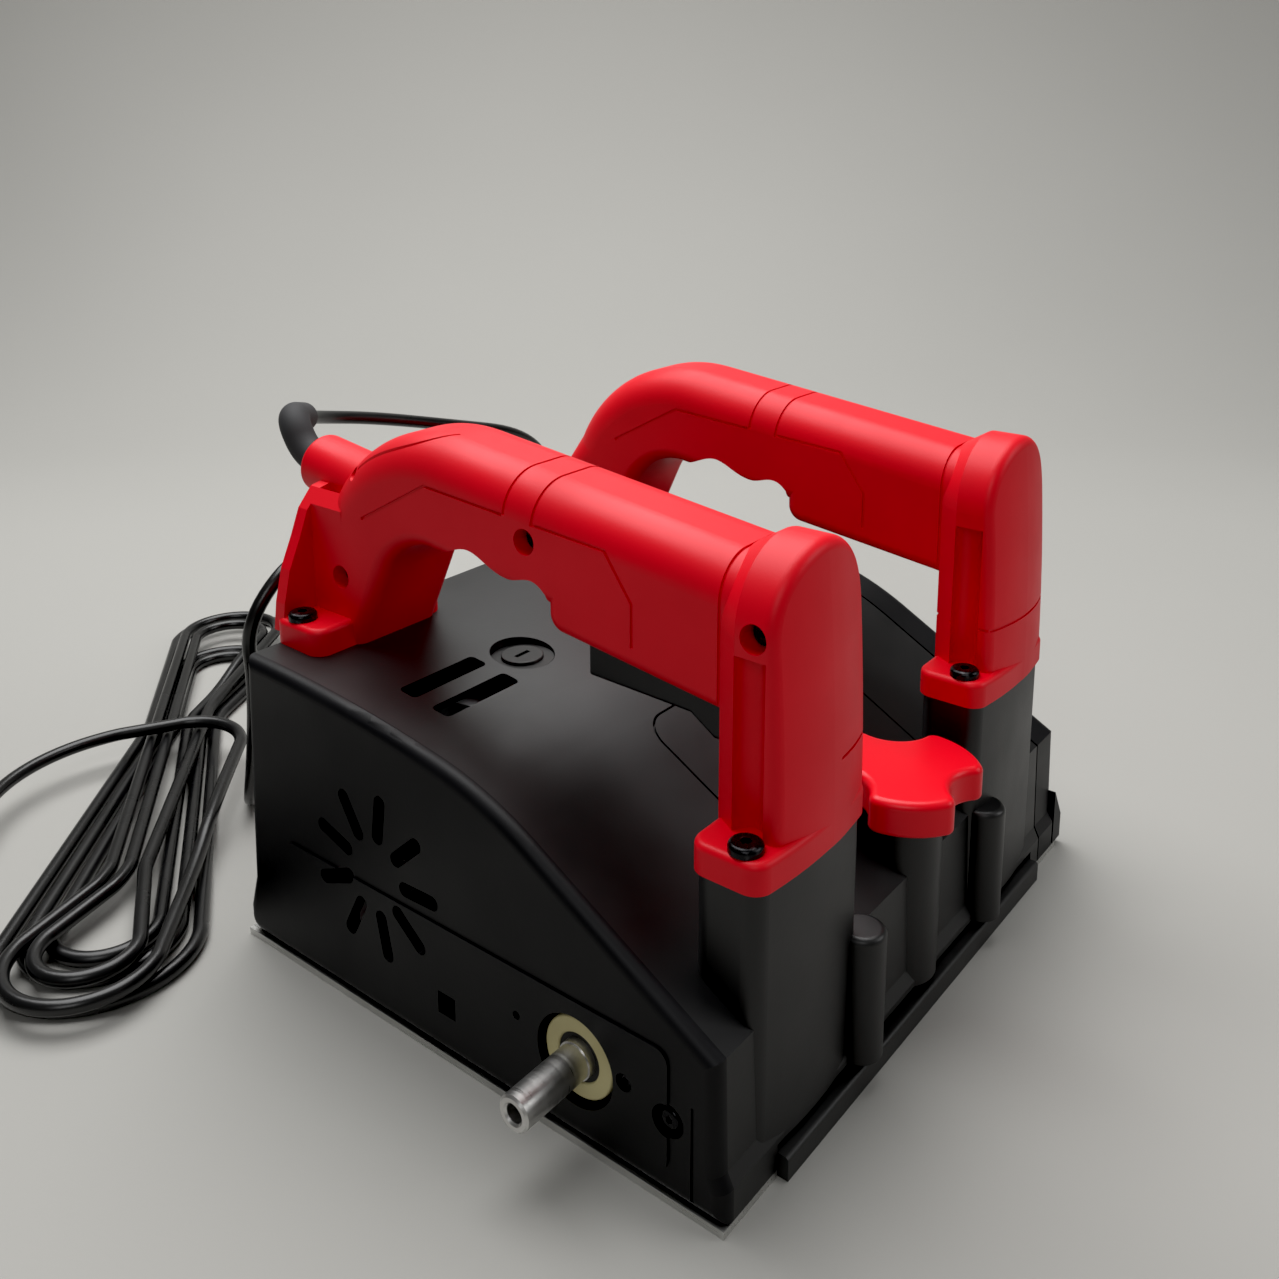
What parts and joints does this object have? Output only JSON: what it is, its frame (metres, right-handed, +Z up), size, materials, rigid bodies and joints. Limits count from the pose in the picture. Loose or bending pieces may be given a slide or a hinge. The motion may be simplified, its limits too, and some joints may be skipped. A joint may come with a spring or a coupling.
{
  "type": "electric wall planer",
  "caption": "Hand held electric wall planer: belt driven toothed drum under a moulded hood, paired loop handles, depth knob and bar, flat metal sole and a supply cord laid in a hank.",
  "frame": {"origin": "middle of the sole's footprint, on its underside", "axes": "+X along the drum to the right seen from the front, +Y to the rear, +Z up"},
  "size_m": [0.4743, 0.5752, 0.2268],
  "materials": {
    "hood_black": "fine grained satin moulding",
    "handle_red": "semi-gloss moulding",
    "trigger_black": "satin moulding",
    "sole_metal": "ground",
    "shaft_steel": "turned",
    "drum_metal": "turned",
    "tooth_carbide": "sintered",
    "seal_nylon": "moulded nylon",
    "screw_black": "black oxide",
    "cast_aluminium": "cast and machined",
    "bearing_steel": "ground",
    "lamination_iron": "stacked sheet",
    "winding_copper": "enamelled wire",
    "brush_brass": "drawn",
    "brush_carbon": "pressed graphite",
    "fan_plastic": "moulded",
    "pulley_metal": "turned",
    "spring_steel": "drawn wire",
    "bar_black": "black coat",
    "soft_rubber": "moulded",
    "belt_rubber": "moulded",
    "cord_black": "smooth jacket",
    "pin_plated": "plated"
  },
  "bodies": {
    "casing": {"brush_caps": "trigger_black", "brush_holders": "brush_brass", "carbon_brushes": "brush_carbon", "cord": "cord_black", "cord_hank": "cord_black", "cord_tail": "cord_black", "cover_screws": "screw_black", "drive_belt": "belt_rubber", "drum_bearings": "bearing_steel", "dust_ring": "soft_rubber", "field_coils": "winding_copper", "front_panel": "hood_black", "guide_springs": "spring_steel", "handle_mount_screws": "screw_black", "handle_screws": "screw_black", "hood": "hood_black", "left_bearing_plate": "cast_aluminium", "left_handle_inner": "handle_red", "left_handle_outer": "handle_red", "left_side_cover": "hood_black", "motor_bearings": "bearing_steel", "motor_housing": "cast_aluminium", "plug_body": "soft_rubber", "plug_pins": "pin_plated", "right_bearing_plate": "cast_aluminium", "right_handle_inner": "handle_red", "right_handle_outer": "handle_red", "right_side_cover": "hood_black", "shaft_seal": "seal_nylon", "sole_plate": "sole_metal", "sole_screws": "screw_black", "stator_core": "lamination_iron", "strain_relief": "soft_rubber", "switch_body": "trigger_black", "trigger_pin": "shaft_steel", "trigger_spring": "spring_steel"},
    "drum": {"drum_body": "drum_metal", "cutter_teeth": "tooth_carbide", "drum_shaft": "shaft_steel", "drum_pulley": "pulley_metal"},
    "armature": {"motor_shaft": "shaft_steel", "armature_core": "lamination_iron", "armature_windings": "winding_copper", "commutator": "winding_copper", "cooling_fan": "fan_plastic", "motor_pulley": "pulley_metal"},
    "knob": {"depth_knob": "handle_red", "depth_screw": "shaft_steel"},
    "bar": {"depth_bar": "bar_black", "guide_pins": "shaft_steel"},
    "lever": {"trigger": "trigger_black"}
  },
  "joints": [
    {"name": "drum_spin", "type": "hinge", "parent": "casing", "child": "drum", "pos_m": [0, -0.0635, 0.034], "axis": [1, 0, 0], "continuous": true},
    {"name": "motor_spin", "type": "hinge", "parent": "casing", "child": "armature", "pos_m": [0, 0.037, 0.063], "axis": [1, 0, 0], "continuous": true},
    {"name": "knob_turn", "type": "hinge", "parent": "casing", "child": "knob", "pos_m": [0, -0.112, 0.093], "axis": [0, 0, 1], "range_deg": [-720, 0]},
    {"name": "depth_slide", "type": "slide", "parent": "casing", "child": "bar", "axis": [0, 0, 1], "range_m": [0, 0.003], "deforming": ["guide_springs"]},
    {"name": "trigger_pull", "type": "hinge", "parent": "casing", "child": "lever", "pos_m": [-0.0815, -0.086, 0.167], "axis": [1, 0, 0], "range_deg": [0, 6], "stiffness_Nm_per_rad": 2, "springref_deg": -4.58, "deforming": ["trigger_spring"]}
  ],
  "couplings": [
    {"joint": "motor_spin", "follows": "drum_spin", "ratio": 1.5625},
    {"joint": "knob_turn", "follows": "depth_slide", "rad_per_m": -4188.8}
  ]
}
